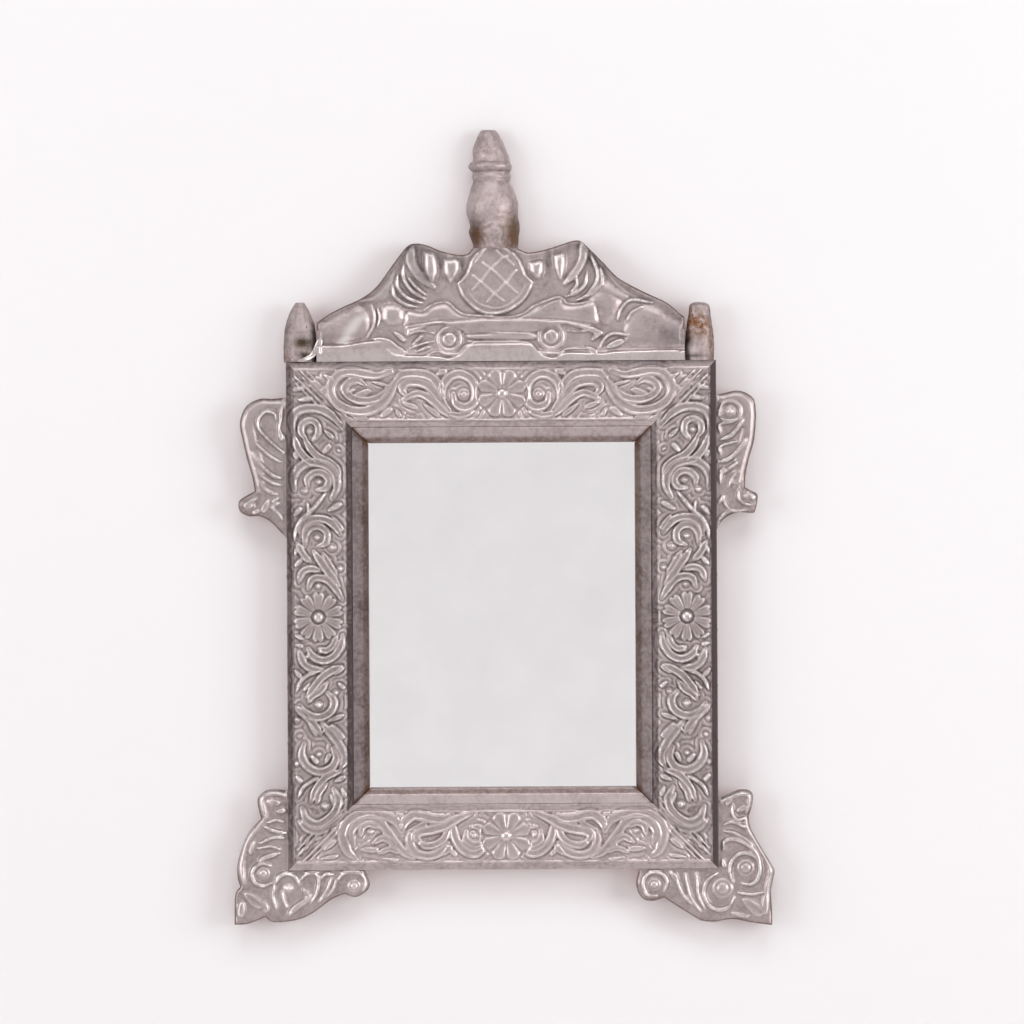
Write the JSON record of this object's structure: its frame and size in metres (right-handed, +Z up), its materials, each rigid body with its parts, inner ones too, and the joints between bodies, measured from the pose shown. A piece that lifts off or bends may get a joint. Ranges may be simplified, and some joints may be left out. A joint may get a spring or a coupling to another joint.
{
  "type": "wall mirror with carved crest",
  "caption": "Upright wall mirror: a wooden frame clad in embossed sheet metal, with a scrolled crest, turned finials, side ears, bracket feet and hanging rings.",
  "frame": {"origin": "middle of the backing board's back face, which lies against the wall", "axes": "+Z up, +Y into the wall, the glass faces -Y, +X to the viewer's right"},
  "size_m": [0.4072, 0.0264, 0.6015],
  "materials": {
    "white_metal_sheet": "thin embossed white-metal sheet, lightly tarnished, satin with bright ridges",
    "bare_wood": "bare hardwood darkened with age",
    "plywood_back": "unfinished plywood",
    "mirror_glass": "silvered float glass",
    "plated_steel": "zinc-plated steel"
  },
  "bodies": {
    "frame": {"top_rail_sheet": "white_metal_sheet", "bottom_rail_sheet": "white_metal_sheet", "left_stile_sheet": "white_metal_sheet", "right_stile_sheet": "white_metal_sheet", "crest_sheet": "white_metal_sheet", "left_ear_sheet": "white_metal_sheet", "right_ear_sheet": "white_metal_sheet", "left_foot_sheet": "white_metal_sheet", "right_foot_sheet": "white_metal_sheet", "top_bead_skin": "white_metal_sheet", "bottom_bead_skin": "white_metal_sheet", "left_bead_skin": "white_metal_sheet", "right_bead_skin": "white_metal_sheet", "centre_finial_skin": "white_metal_sheet", "left_finial_skin": "white_metal_sheet", "right_finial_skin": "white_metal_sheet", "top_rail_core": "bare_wood", "bottom_rail_core": "bare_wood", "left_stile_core": "bare_wood", "right_stile_core": "bare_wood", "top_bead": "bare_wood", "bottom_bead": "bare_wood", "left_bead": "bare_wood", "right_bead": "bare_wood", "crest_board": "bare_wood", "centre_finial": "bare_wood", "left_finial": "bare_wood", "right_finial": "bare_wood", "left_ear_board": "bare_wood", "right_ear_board": "bare_wood", "left_foot_board": "bare_wood", "right_foot_board": "bare_wood", "crest_dowels": "bare_wood", "ear_dowels": "bare_wood", "foot_dowels": "bare_wood", "backing_pins": "plated_steel", "mitre_nails": "plated_steel", "sheet_tacks": "plated_steel", "left_strap": "plated_steel", "right_strap": "plated_steel", "strap_screws": "plated_steel", "mirror_glass": "mirror_glass", "backing_board": "plywood_back"},
    "left_hanging_ring": {"left_ring": "plated_steel"},
    "right_hanging_ring": {"right_ring": "plated_steel"}
  },
  "joints": [
    {"name": "left_ring_hinge", "type": "hinge", "parent": "frame", "child": "left_hanging_ring", "pos_m": [-0.08, -0.0032, 0.2315], "axis": [1, 0, 0], "range_deg": [0, 180]},
    {"name": "right_ring_hinge", "type": "hinge", "parent": "frame", "child": "right_hanging_ring", "pos_m": [0.08, -0.0032, 0.2315], "axis": [1, 0, 0], "range_deg": [0, 180]}
  ]
}
